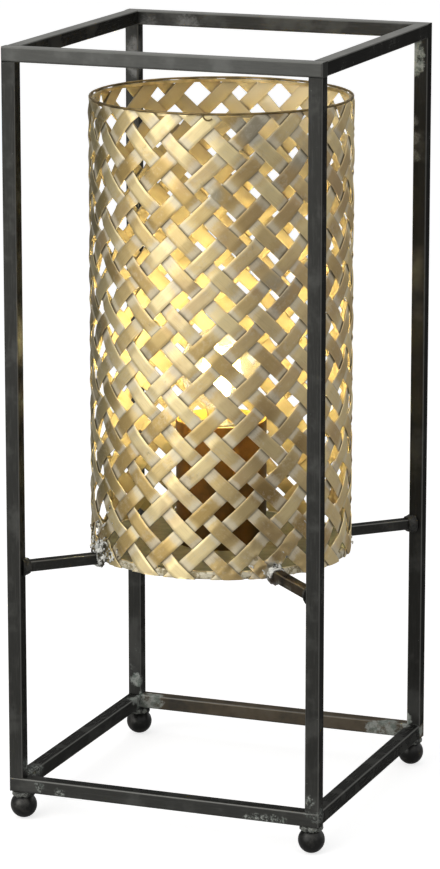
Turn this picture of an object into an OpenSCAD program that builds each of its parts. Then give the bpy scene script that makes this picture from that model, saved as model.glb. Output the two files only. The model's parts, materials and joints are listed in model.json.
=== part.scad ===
// Lantern table lamp. Four posts and two rings of rails in square bar make an
// open frame on ball feet. Four arms carry a drum shade woven from flat brass
// strips. A metal cup stands on the shade's base plate and hides the lampholder
// of a small screw-in lamp.
// Millimetres, +Z up. The origin is on the floor under the middle of the frame,
// the front is -Y and the right side is +X.

/* [Frame] */
// Width and depth of the frame over its bars
frame_w = 180; // [165:1:240]
// Height of the frame from the underside of its rails to its top
frame_h = 410; // [385:1:560]
// Side of the square bar
bar_w = 8; // [6:0.5:10]
// Radius on the long edges of the bar
bar_edge_r = 1; // [0.4:0.1:1.5]

/* [Feet] */
// Diameter of a ball foot
ball_d = 14.6; // [12:0.2:15]
// Height of a foot from the floor to the rail
foot_h = 15.5; // [15.2:0.1:20]
// Distance from the frame's outer faces to a ball's centre
foot_inset = 6; // [4:0.5:9]
// Diameter of the neck between ball and rail
neck_d = 9.4; // [6:0.2:11]
// Radius of the flat that the ball stands on
foot_flat_r = 2; // [1.5:0.1:3]

/* [Shade] */
// Outside diameter of the shade
shade_d = 144; // [120:1:172]
// Height of the shade over its rim wire
shade_h = 252.6; // [215:0.1:255]
// Height of the shade's bottom edge above the underside of the rails
shade_lift = 125; // [80:1:130]
// Height of the flat hoop at the bottom
hoop_h = 3; // [2:0.2:6]
// Height of the flat hoop under the rim wire
top_hoop_h = 1.6; // [1.2:0.2:6]
// Thickness of the hoops
hoop_t = 1; // [0.6:0.1:2]
// Diameter of the wire along the top rim
rim_wire_d = 1.2; // [1:0.1:2.5]
// Thickness of the base plate
plate_t = 1.2; // [0.8:0.1:3]

/* [Weave] */
// Strips in each of the two crossing families
strip_count = 19; // [15:1:23]
// Width of a strip
strip_w = 8; // [5:0.1:8.6]
// Thickness of a strip
strip_t = 0.7; // [0.4:0.05:1]
// Rise from one crossing of a strip to the next but one
strip_rise = 22.85; // [20:0.05:30]
// Difference between the wide and the narrow gaps of a family
gap_step = 4.3; // [0:0.1:6]
// Clearance between two strips where they cross
strip_gap = 0.3; // [0.15:0.05:0.5]

/* [Arms] */
// Side of the square arms
arm_w = 6; // [4:0.5:8]
// Depth of the arms' underside below the shade's bottom edge
arm_drop = 1.5; // [0:0.1:3]
// Radius of the solder and weld beads
bead_r = 1.6; // [1:0.1:2.4]

/* [Cup] */
// Outside diameter of the cup
cup_d = 50; // [40:1:60]
// Height of the cup above the base plate
cup_h = 69; // [60:1:90]
// Thickness of the cup's wall and floor
cup_t = 1; // [0.6:0.1:2]

/* [Lampholder] */
// Outside diameter of the lampholder
holder_d = 27; // [24:0.5:32]
// Height of the lampholder's top above the base plate
holder_top = 66; // [62:1:80]
// Height of the lampholder
holder_h = 54; // [48:1:58]
// Outside diameter of the threaded tube
tube_d = 10; // [8:0.5:12]
// Bore of the threaded tube
tube_bore = 7; // [5:0.5:8]
// Bore of the cord grip at the tube's lower end
cord_bore = 6.4; // [4:0.2:7]

/* [Lamp] */
// Diameter of the glass ball
glass_d = 45; // [38:1:50]
// Height of the lamp from its contact to the top of the glass
lamp_h = 78; // [76:1:100]
// Diameter of the screw cap over its thread
cap_d = 13.8; // [13:0.1:14]
// Height of the screw cap with its contact
cap_h = 25; // [23:0.5:28]
// Thickness of the glass
glass_t = 0.6; // [0.4:0.1:1]
// Length of a light filament
filament_h = 28; // [20:1:30]

/* [Hidden] */
$fn = 64;

// Places and sizes that follow from the driving dimensions
far = 2 * frame_w;                      // longer than anything it cuts
corner = (frame_w - bar_w) / 2;         // middle of a post from the centre lines
inner_face = frame_w / 2 - bar_w;       // inner faces of the posts and rails
frame_top = foot_h + frame_h;
post_h = frame_h - 2 * bar_w;
shade_z = foot_h + shade_lift;          // bottom edge of the shade
seat = 0.3;                             // clearance where brazed pieces meet
contact = 0.1;                          // clearance where pieces are screwed or pressed home

// Weave: the two families pass each other at weave_r, outside and inside it
weave_step = (strip_t + strip_gap) / 2;
weave_r = shade_d / 2 - weave_step - strip_t / 2;
weave_inner_r = weave_r - weave_step - strip_t / 2;
strip_h = shade_h - rim_wire_d - contact;
pitch = 360 / strip_count;              // angle from one strip to the next
slope = atan(strip_rise / (pitch * PI / 180 * weave_r));
degrees_across = 180 / PI / weave_r / sin(slope);   // turns a size across a strip into an angle
half_strip = strip_w / 2 * degrees_across;
land_margin = 0.4;                      // how far a strip stays level beside the one it crosses
half_land = (strip_w / 2 + land_margin) * degrees_across;
stagger = gap_step / 4 * degrees_across;
fold_tilt = strip_rise / (2 * pitch);   // drop of a fold for each degree towards the right edge
corner_h = fold_tilt * half_strip;
end_step = 0.4;                         // least step between a strip's corner and its next fold
// Middle of one wide gap of each family at the bottom edge, and the strip beside the seam
rising_gap = -79.8;
falling_gap = -36.3;
rising_seam = -14;
falling_seam = -6;

// Inside the shade
hoop_r = weave_inner_r - 0.4;
plate_top = shade_z + hoop_h + plate_t;
cup_floor = plate_top + cup_t;
holder_z = plate_top + holder_top - holder_h;
holder_end = plate_top + holder_top;
cap_part = 16;                          // height of the lampholder's lower cap
holder_t = 2;
shell_clear = 0.25;                     // between the lamp's cap and the shell around it
shell_t = 0.4;
shell_r = cap_d / 2 + shell_clear;      // inside of the screw shell
skirt_r = cap_d / 2 + 1.6;              // flared end of the lamp's cap
lamp_z = holder_end + 0.8 - cap_h;      // contact of the lamp
arch_h = 2;                             // room for the centre contact under the lamp
block_top = lamp_z - arch_h;
block_t = 4;
tube_clear = 0.1;
washer_t = 1.2;
nut_h = 4;
nut_af = tube_d + 4;
tube_high = holder_z + 9;
grip_h = 13;
grip_socket = 5;
grip_r = tube_d / 2 + 1.8;
tube_low = plate_top - plate_t - washer_t - nut_h - contact - grip_socket;

// Inside the lamp
ball_z = lamp_z + lamp_h - glass_d / 2;
neck_r = cap_d / 2 + 0.9;
blend_r = 10;                           // hollow curve between neck and ball
filament_r = 1;
filament_top_r = 6.5;
filament_low_r = 4;
filament_top = ball_z + filament_h / 2 - 2;
filament_low = filament_top - filament_h;
wire_r = 0.35;

// ---------- shared shapes ----------

// Square with rounded corners, centred
module rounded_square(side, r) {
    square([side, side - 2 * r], center = true);
    square([side - 2 * r, side], center = true);
    for (x = [-1, 1], y = [-1, 1])
        translate([x * (side / 2 - r), y * (side / 2 - r)]) circle(r, $fn = 24);
}

// Upright ring with a rectangular section
module ring(r_in, r_out, z, h) {
    translate([0, 0, z]) difference() {
        cylinder(r = r_out, h = h);
        translate([0, 0, -1]) cylinder(r = r_in, h = h + 2);
    }
}

// Bar along +Z from the origin
module bar(side, length) {
    linear_extrude(length) rounded_square(side, bar_edge_r);
}

// ---------- frame ----------

module post(x, y) {
    color("#3c3c3a") translate([x * corner, y * corner, foot_h + bar_w]) bar(bar_w, post_h);
}

// Rail along X over the full width, with the frame's rounded corners at its ends
module long_rail(y, z) {
    color("#444442") intersection() {
        translate([-frame_w / 2, y * corner, z + bar_w / 2]) rotate([0, 90, 0]) bar(bar_w, frame_w);
        translate([0, 0, z - 1]) linear_extrude(bar_w + 2) rounded_square(frame_w, bar_edge_r);
    }
}

// Rail along Y between the two long ones
module short_rail(x, z) {
    color("#444442") translate([x * corner, -inner_face, z + bar_w / 2])
        rotate([-90, 0, 0]) bar(bar_w, 2 * inner_face);
}

module foot_at(x, y) {
    translate([x * (frame_w / 2 - foot_inset), y * (frame_w / 2 - foot_inset), 0]) children();
}

// Ball with a short neck, cut to a small flat on the floor
module foot_shape() {
    sink = ball_d / 2 - sqrt(pow(ball_d / 2, 2) - pow(foot_flat_r, 2));
    difference() {
        union() {
            translate([0, 0, ball_d / 2 - sink]) sphere(d = ball_d);
            translate([0, 0, foot_h - ball_d / 4]) cylinder(d = neck_d, h = ball_d / 4);
        }
        translate([0, 0, -ball_d / 2]) cube(ball_d, center = true);
    }
}

module ball_foot(x, y) {
    color("#2e2e2d") foot_at(x, y) foot_shape();
}

// Braze run round the neck where it meets the ball
module foot_welds() {
    color("#8c8f8b") for (x = [-1, 1], y = [-1, 1]) foot_at(x, y) difference() {
        translate([0, 0, foot_h - bead_r - contact]) rotate_extrude()
            translate([neck_d / 2, 0]) circle(bead_r, $fn = 24);
        foot_shape();
    }
}

// ---------- arms ----------

module arm_bar(angle) {
    rotate([0, 0, angle]) translate([shade_d / 2 - 1, 0, shade_z - arm_drop + arm_w / 2])
        rotate([0, 90, 0]) bar(arm_w, inner_face * sqrt(2) + arm_w / 2 - shade_d / 2 + 1);
}

// Room for the shade with the clearance that the arms and their solder keep from it
module around_shade() {
    cylinder(r = shade_d / 2 + seat, h = far, $fn = 360);
}

module post_corner(x, y) {
    translate([x * corner, y * corner, shade_z]) cube([bar_w, bar_w, 8 * arm_w], center = true);
}

// Arm from the post's inner corner to the wall of the shade
module arm(x, y) {
    color("#3c3c3a") difference() {
        arm_bar(atan2(y, x));
        post_corner(x, y);
        around_shade();
    }
}

// Bead round an arm: a cone that widens towards the joint, from one distance to another
module arm_bead(angle, wide_at, narrow_at) {
    slim_r = arm_w / sqrt(2);
    length = abs(narrow_at - wide_at);
    rotate([0, 0, angle]) translate([wide_at, 0, shade_z - arm_drop + arm_w / 2])
        rotate([0, narrow_at > wide_at ? 90 : -90, 0])
            cylinder(r1 = slim_r + bead_r, r2 = slim_r, h = length);
}

module arm_welds() {
    color("#6f716d") for (x = [-1, 1], y = [-1, 1]) difference() {
        arm_bead(atan2(y, x), inner_face * sqrt(2) + arm_w / 2, inner_face * sqrt(2) - bead_r);
        arm_bar(atan2(y, x));
        post_corner(x, y);
    }
}

module shade_solder() {
    color("#b9b5a4") for (x = [-1, 1], y = [-1, 1]) difference() {
        arm_bead(atan2(y, x), shade_d / 2 - 0.5, shade_d / 2 + seat + 2 * bead_r);
        arm_bar(atan2(y, x));
        around_shade();
    }
}

// ---------- woven shade ----------

// Every second strip stands a little to the right, so that wide and narrow gaps alternate.
// The strips are counted on past a full turn, and the seam is where the count starts again.
function set_over(n, seam) =
    ((n - strip_count * floor((n - seam) / strip_count)) % 2 == 0 ? 1 : -1) * stagger;
function rising_angle(n) = rising_gap + (n + 0.5) * pitch + set_over(n, rising_seam);
function falling_angle(n) = falling_gap + (n + 0.5) * pitch + set_over(n, falling_seam);
// Crossings that a strip can meet on its way up, with some to spare at both ends
crossings_up = ceil(2 * strip_h / strip_rise) + 4;

// Folds of a strip as [height, side]: side 1 passes outside the strip it meets, -1 inside.
// The height is the one at the strip's middle line; the fold slants down to the right.
function folds(own, met) = [
    for (m = met, end = [-1, 1]) [fold_tilt * (m[0] + end * half_land - own), m[1]]
];
// Fold heights between two limits, with a corner's own height put in its place
function with_corner(list, low, corner, high) = concat(
    [for (f = list) if (f[0] > low + end_step && f[0] < corner - end_step) f[0]],
    [corner],
    [for (f = list) if (f[0] > corner + end_step && f[0] < high - end_step) f[0]]
);
// Points at fold height k on the left edge and the top end, or on the bottom end and the right edge
function left_point(k) = min(strip_h, k + corner_h);
function right_point(k) = max(0, k - corner_h);
function on_shade(k, height, own, sides, depth) =
    let (
        angle = own + (k - height) / fold_tilt + pitch * height / strip_rise,
        r = weave_r + lookup(k, sides) * weave_step + depth
    )
    [r * cos(angle), r * sin(angle), height];
function outline(left, right, own, sides, depth) = concat(
    [for (k = left) on_shade(k, left_point(k), own, sides, depth)],
    [for (k = right) on_shade(k, right_point(k), own, sides, depth)]
);

// Triangles between the left and the right outline, going on along the one that lags
function face_between(left, right, i = 0, j = 0) =
    i == len(left) - 1 && j == len(right) - 1 ? [] :
    j == len(right) - 1 || (i < len(left) - 1 && left[i + 1] <= right[j + 1] + 0.01) ?
        concat([[i, i + 1, len(left) + j]], face_between(left, right, i + 1, j)) :
        concat([[i, len(left) + j + 1, len(left) + j]], face_between(left, right, i, j + 1));

// Triangles of a narrow side between two lines of points that start at a and b
function side_between(a, b, count) = [
    for (k = [0 : count - 2], half = [0, 1])
        half == 0 ? [a + k, a + k + 1, b + k + 1] : [a + k, b + k + 1, b + k]
];

// One strip that climbs anticlockwise; met lists [angle, side] for the strips it crosses
module strip(own, met) {
    sides = folds(own, met);
    top = strip_h + corner_h;
    left = concat([-corner_h], with_corner(sides, -corner_h, strip_h - corner_h, top));
    right = concat(with_corner(sides, -corner_h, corner_h, top), [top]);
    nl = len(left);
    nr = len(right);
    back = nl + nr;                     // first point of the inner face
    outer = face_between(left, right);
    polyhedron(
        points = concat(
            outline(left, right, own, sides, strip_t / 2),
            outline(left, right, own, sides, -strip_t / 2)
        ),
        faces = concat(
            outer,
            [for (f = outer) [back + f[2], back + f[1], back + f[0]]],
            side_between(back, 0, nl),
            side_between(nl, back + nl, nr),
            [[back, 0, nl, back + nl]],
            [[back + back - 1, back - 1, nl - 1, back + nl - 1]]
        ),
        convexity = 10
    );
}

// Strips that climb to the right, seen from outside
module weave_rising() {
    color("#cdb27a") translate([0, 0, shade_z])
        for (n = [rising_seam : rising_seam + strip_count - 1]) {
            own = rising_angle(n);
            first = floor((own - falling_gap) / pitch) - 2;
            strip(own, [for (m = [first : first + crossings_up])
                [falling_angle(m), (m - n) % 2 == 0 ? -1 : 1]]);
        }
}

// Strips that climb to the left: the mirror image of the others
module weave_falling() {
    color("#bfa268") translate([0, 0, shade_z]) mirror([0, 1, 0])
        for (n = [falling_seam : falling_seam + strip_count - 1]) {
            own = falling_angle(n);
            first = ceil((own - rising_gap) / pitch) + 1;
            strip(-own, [for (m = [first : -1 : first - crossings_up])
                [-rising_angle(m), (n - m) % 2 == 0 ? 1 : -1]]);
        }
}

module bottom_hoop() {
    color("#c9b684") ring(hoop_r - hoop_t, hoop_r, shade_z, hoop_h);
}

module top_hoop() {
    color("#d6c690") ring(hoop_r - hoop_t, hoop_r, shade_z + strip_h - top_hoop_h, top_hoop_h);
}

// Wire that lies on the strips' upper ends
module rim_wire() {
    color("#5a5138") translate([0, 0, shade_z + shade_h - rim_wire_d / 2]) rotate_extrude($fn = 96)
        translate([weave_r, 0]) circle(d = rim_wire_d, $fn = 24);
}

// Hooked end of the rim wire's binding: it leaves the wire and hangs down outside the strips
module rim_tie() {
    tie_r = 2.8;
    tie_wire = 0.9;
    tie_angle = -74.5;
    hook_angle = 130;
    color("#5a5138") rotate([0, 0, tie_angle])
        translate([(shade_d + tie_wire) / 2 + contact, 0, shade_z + shade_h - rim_wire_d / 2])
            rotate([0, 90, 0]) rotate([0, 0, -90]) rotate_extrude(angle = hook_angle, $fn = 48)
                translate([tie_r, 0]) circle(d = tie_wire, $fn = 16);
}

// Disc that closes the shade below and carries the lampholder
module base_plate() {
    color("#7d6f45") ring(tube_d / 2 + tube_clear, hoop_r, shade_z + hoop_h, plate_t);
}

// ---------- cup and lampholder ----------

module holder_cup() {
    color("#7a4a22") union() {
        ring(cup_d / 2 - cup_t, cup_d / 2, plate_top, cup_h);
        ring(tube_d / 2 + tube_clear, cup_d / 2 - cup_t / 2, plate_top, cup_t);
    }
}

module threaded_tube() {
    color("#b8ab78") ring(tube_bore / 2, tube_d / 2, tube_low, tube_high - tube_low);
}

module tube_washer() {
    color("#8f8f8c") ring(tube_d / 2 + tube_clear, tube_d / 2 + 4, plate_top - plate_t - washer_t, washer_t);
}

module tube_nut() {
    color("#8f8f8c") translate([0, 0, plate_top - plate_t - washer_t - nut_h]) difference() {
        cylinder(d = nut_af / cos(30), h = nut_h, $fn = 6);
        translate([0, 0, -1]) cylinder(r = tube_d / 2 + tube_clear, h = nut_h + 2);
    }
}

// Sleeve that holds the lampholder up from the cup's floor
module spacer_sleeve() {
    color("#a89a68") ring(tube_d / 2 + tube_clear, tube_d / 2 + 2.5, cup_floor, holder_z - cup_floor);
}

// Bush on the tube's lower end: a socket over the tube, then the bore for the cord
module cord_grip() {
    color("#1f1f1f") translate([0, 0, tube_low + grip_socket - grip_h]) difference() {
        rotate_extrude() {
            square([grip_r, grip_h - 1]);
            square([grip_r - 1, grip_h]);
            translate([grip_r - 1, grip_h - 1]) circle(1, $fn = 24);
        }
        translate([0, 0, -1]) cylinder(d = cord_bore, h = grip_h);
        translate([0, 0, grip_h - grip_socket]) cylinder(r = tube_d / 2 + tube_clear, h = grip_socket + 1);
    }
}

// Lower half of the lampholder: a dome that screws on to the threaded tube
module holder_cap() {
    shoulder = 5;
    color("#26241f") translate([0, 0, holder_z]) difference() {
        rotate_extrude() {
            square([holder_d / 2 - shoulder, cap_part]);
            translate([0, shoulder]) square([holder_d / 2, cap_part - shoulder]);
            translate([holder_d / 2 - shoulder, shoulder]) circle(shoulder);
        }
        translate([0, 0, -1]) cylinder(r = tube_d / 2 + tube_clear, h = cap_part);
        translate([0, 0, shoulder + holder_t]) cylinder(r = holder_d / 2 - holder_t, h = cap_part);
    }
}

// Upper half: a sleeve with a bore for the screw shell and a recess for the lamp's skirt
module holder_body() {
    body_h = holder_h - cap_part;
    recess = 6;
    bore_low = block_top - (holder_z + cap_part);
    color("#26241f") translate([0, 0, holder_z + cap_part]) difference() {
        cylinder(d = holder_d, h = body_h);
        translate([0, 0, -1]) cylinder(r = shell_r + shell_t + contact, h = body_h);
        translate([0, 0, body_h - recess]) cylinder(r = skirt_r + 2 * shell_clear, h = recess + 1);
        translate([0, 0, -1]) cylinder(r = holder_d / 2 - holder_t, h = bore_low + 1);
    }
}

// Ceramic block under the screw shell, which carries the contacts
module contact_block() {
    color("#e4ded0") translate([0, 0, block_top - block_t]) difference() {
        cylinder(r = holder_d / 2 - holder_t - contact, h = block_t - contact);
        for (x = [-1, 1]) translate([x * 5, 0, -1]) cylinder(d = 3.2, h = block_t + 2);
    }
}

module screw_shell() {
    color("#c8ab5c") ring(shell_r, shell_r + shell_t, block_top, holder_end - 6.5 - block_top);
}

// Spring strip: a foot on the block and an arch that reaches up to the lamp
module centre_contact() {
    strip_thick = 0.4;
    arch_r = arch_h - 2 * contact;
    color("#d1b872") translate([0, 2, block_top]) rotate([90, 0, 0]) linear_extrude(4) {
        intersection() {
            difference() {
                circle(arch_r);
                circle(arch_r - strip_thick);
            }
            translate([-arch_r, 0]) square([2 * arch_r, arch_r]);
        }
        translate([arch_r - strip_thick, 0]) square([2.5, strip_thick]);
        translate([-arch_r - 2.1, 0]) square([2.5, strip_thick]);
    }
}

// Two screws through the block, heads below, which clamp the wires
module terminal_screws() {
    head_h = 2;
    color("#b9b9b6") for (x = [-1, 1]) translate([x * 5, 0, block_top - block_t - head_h - contact]) {
        cylinder(d = 5.5, h = head_h);
        translate([0, 0, head_h]) cylinder(d = 3, h = block_t - 0.6);
    }
}

// ---------- lamp ----------

// Outline of the glass, drawn in by an inset: ball, hollow curve and straight neck
module glass_outline(inset) {
    r = glass_d / 2 - inset;
    neck = neck_r - inset;
    blend = blend_r + inset;
    blend_x = neck + blend;
    drop = sqrt(pow(r + blend, 2) - pow(blend_x, 2));
    touch = r / (r + blend);
    low = cap_h - 5;
    intersection() {
        union() {
            translate([0, ball_z]) circle(r, $fn = 96);
            difference() {
                translate([0, lamp_z + low]) square([blend_x * touch, ball_z - drop * touch - lamp_z - low]);
                translate([blend_x, ball_z - drop]) circle(blend, $fn = 96);
                translate([neck, 0]) square([far, ball_z - drop]);
            }
        }
        translate([0, lamp_z + low]) square([glass_d, lamp_h]);
    }
}

module lamp_glass() {
    color("#f4ecd2", 0.35) rotate_extrude($fn = 96) difference() {
        glass_outline(0);
        glass_outline(glass_t);
    }
}

// Screw cap: thread crests as rings, then the flared skirt that holds the glass
module lamp_cap() {
    cap_t = 0.35;
    crest = 0.7;
    thread_pitch = 2.82;
    thread_low = 4.5;
    turns = 5;
    root_r = cap_d / 2 - crest;
    skirt_low = cap_h - 5.5;
    color("#c9c9c4") translate([0, 0, lamp_z]) difference() {
        union() {
            translate([0, 0, 3]) cylinder(r = root_r, h = skirt_low - 3);
            translate([0, 0, skirt_low]) cylinder(r = skirt_r, h = cap_h - skirt_low);
            for (k = [0 : turns - 1]) translate([0, 0, thread_low + k * thread_pitch])
                rotate_extrude() translate([root_r, 0]) circle(crest, $fn = 24);
        }
        translate([0, 0, 2]) cylinder(r = root_r - cap_t, h = skirt_low);
        translate([0, 0, skirt_low + cap_t]) cylinder(r = skirt_r - cap_t, h = cap_h);
    }
}

module lamp_insulator() {
    color("#1c1a22") translate([0, 0, lamp_z]) difference() {
        union() {
            translate([0, 0, 1]) cylinder(r1 = 3, r2 = cap_d / 2 - 1.4, h = 2 - contact);
            translate([0, 0, 1]) cylinder(r = 3, h = 4);
        }
        cylinder(r = 1, h = 10);
    }
}

// Solder dome under the insulator
module lamp_contact() {
    dome_r = 2.9;
    color("#bdbdb8") translate([0, 0, lamp_z]) intersection() {
        translate([0, 0, dome_r]) sphere(dome_r);
        cylinder(r = dome_r, h = 1 - contact / 2);
    }
}

// Glass foot fused into the neck, drawn up into a rod between the filaments
module lamp_stem() {
    flare_z = lamp_z + cap_h - 4.6;
    press_z = filament_low - 6;
    color("#efe9d8", 0.5) rotate_extrude() polygon([
        [0, flare_z], [neck_r - glass_t - contact, flare_z], [neck_r - glass_t - contact, flare_z + 0.8],
        [3.2, flare_z + 5], [3, press_z - 2], [2.2, press_z], [1, press_z + 1], [1, filament_top - 1],
        [0, filament_top - 1]
    ]);
}

function filament_point(k, r, z) = [r * cos(45 + 90 * k), r * sin(45 + 90 * k), z];

// Wires that carry the filaments at both ends, from the stem outwards
module lamp_wires() {
    color("#a9a39a") {
        for (k = [0 : 3]) rotate([0, 0, 45 + 90 * k]) {
            translate([1 + contact, 0, filament_low - wire_r - contact]) rotate([0, 90, 0])
                cylinder(r = wire_r, h = filament_low_r, $fn = 16);
            translate([0, 0, filament_top + wire_r + contact]) rotate([0, 90, 0])
                cylinder(r = wire_r, h = filament_top_r + 0.5, $fn = 16);
        }
        translate([0, 0, filament_top - 1 + contact]) cylinder(r = 0.8, h = 1 + wire_r);
    }
}

// Four upright light filaments, leaning outwards towards the top
module lamp_filaments() {
    lean = atan((filament_top_r - filament_low_r) / filament_h);
    color("#ffd27a") for (k = [0 : 3]) intersection() {
        translate(filament_point(k, filament_low_r, filament_low)) rotate([0, 0, 45 + 90 * k])
            rotate([0, lean, 0]) translate([0, 0, -2]) cylinder(r = filament_r, h = filament_h + 6, $fn = 24);
        translate([0, 0, filament_low]) cylinder(r = glass_d / 3, h = filament_h);
    }
}

post(-1, -1);  // post_front_left
post(1, -1);  // post_front_right
post(-1, 1);  // post_back_left
post(1, 1);  // post_back_right
long_rail(-1, foot_h);  // bottom_rail_front
long_rail(1, foot_h);  // bottom_rail_back
short_rail(-1, foot_h);  // bottom_rail_left
short_rail(1, foot_h);  // bottom_rail_right
long_rail(-1, frame_top - bar_w);  // top_rail_front
long_rail(1, frame_top - bar_w);  // top_rail_back
short_rail(-1, frame_top - bar_w);  // top_rail_left
short_rail(1, frame_top - bar_w);  // top_rail_right
ball_foot(-1, -1);  // ball_foot_front_left
ball_foot(1, -1);  // ball_foot_front_right
ball_foot(-1, 1);  // ball_foot_back_left
ball_foot(1, 1);  // ball_foot_back_right
foot_welds();
arm(-1, -1);  // arm_front_left
arm(1, -1);  // arm_front_right
arm(-1, 1);  // arm_back_left
arm(1, 1);  // arm_back_right
arm_welds();
shade_solder();
weave_rising();
weave_falling();
top_hoop();
bottom_hoop();
rim_wire();
rim_tie();
base_plate();
holder_cup();
threaded_tube();
tube_washer();
tube_nut();
spacer_sleeve();
cord_grip();
holder_cap();
holder_body();
contact_block();
screw_shell();
centre_contact();
terminal_screws();
lamp_glass();
lamp_cap();
lamp_insulator();
lamp_contact();
lamp_stem();
lamp_wires();
lamp_filaments();
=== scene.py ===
import json
import math
import random

import bmesh
import bpy
import numpy as np
from mathutils import Matrix, Vector, noise

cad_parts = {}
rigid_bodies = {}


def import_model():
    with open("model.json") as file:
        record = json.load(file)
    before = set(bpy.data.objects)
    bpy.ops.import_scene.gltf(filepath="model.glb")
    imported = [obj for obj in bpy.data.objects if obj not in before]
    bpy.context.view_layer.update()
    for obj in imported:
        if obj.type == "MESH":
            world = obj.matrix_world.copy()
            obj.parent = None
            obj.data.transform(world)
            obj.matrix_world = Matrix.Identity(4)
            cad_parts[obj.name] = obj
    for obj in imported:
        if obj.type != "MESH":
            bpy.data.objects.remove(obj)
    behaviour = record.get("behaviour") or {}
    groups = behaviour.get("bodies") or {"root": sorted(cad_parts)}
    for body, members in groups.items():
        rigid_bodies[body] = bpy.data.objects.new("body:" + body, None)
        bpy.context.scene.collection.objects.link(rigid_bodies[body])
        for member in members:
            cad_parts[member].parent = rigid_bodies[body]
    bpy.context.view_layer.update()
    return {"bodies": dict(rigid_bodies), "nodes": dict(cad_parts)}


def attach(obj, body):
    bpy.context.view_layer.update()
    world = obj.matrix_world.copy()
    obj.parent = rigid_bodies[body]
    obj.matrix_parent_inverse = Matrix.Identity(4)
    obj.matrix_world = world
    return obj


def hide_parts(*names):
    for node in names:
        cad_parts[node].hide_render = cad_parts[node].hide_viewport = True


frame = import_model()
print("frame loaded:", len(frame["nodes"]), "parts")

mm = 0.001


def paintColour(red, green, blue, alpha=1.0):  # 0 to 255 as a screen shows it
    def linear(value):
        value = value / 255
        return value / 12.92 if value <= 0.04045 else ((value + 0.055) / 1.055) ** 2.4
    return (linear(red), linear(green), linear(blue), alpha)


def paints(look):  # the colours in a dictionary of looks: its tuples
    return {key: paintColour(*value) for key, value in look.items() if isinstance(value, tuple)}


class Wire:  # a socket of a shader node that can be used in sums
    def __init__(self, finish, socket):
        self.finish, self.socket = finish, socket

    def math(self, operation, *values):
        return self.finish.node("ShaderNodeMath", {"operation": operation}, dict(enumerate(values)))

    def __add__(self, other):
        return self.math("ADD", self, other)

    def __sub__(self, other):
        return self.math("SUBTRACT", self, other)

    def __rsub__(self, other):
        return self.math("SUBTRACT", other, self)

    def __mul__(self, other):
        return self.math("MULTIPLY", self, other)

    def __truediv__(self, other):
        return self.math("DIVIDE", self, other)

    def __pow__(self, other):
        return self.math("POWER", self, other)

    def __abs__(self):
        return self.math("ABSOLUTE", self)

    __radd__, __rmul__ = __add__, __mul__

    def most(self, other):
        return self.math("MAXIMUM", self, other)

    def least(self, other):
        return self.math("MINIMUM", self, other)

    def rise(self, low, high):  # 0 below low, 1 above high, soft between
        return self.finish.node("ShaderNodeMapRange", {"interpolation_type": "SMOOTHSTEP"},
                                {0: self, 1: low, 2: high, 3: 0.0, 4: 1.0})


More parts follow.
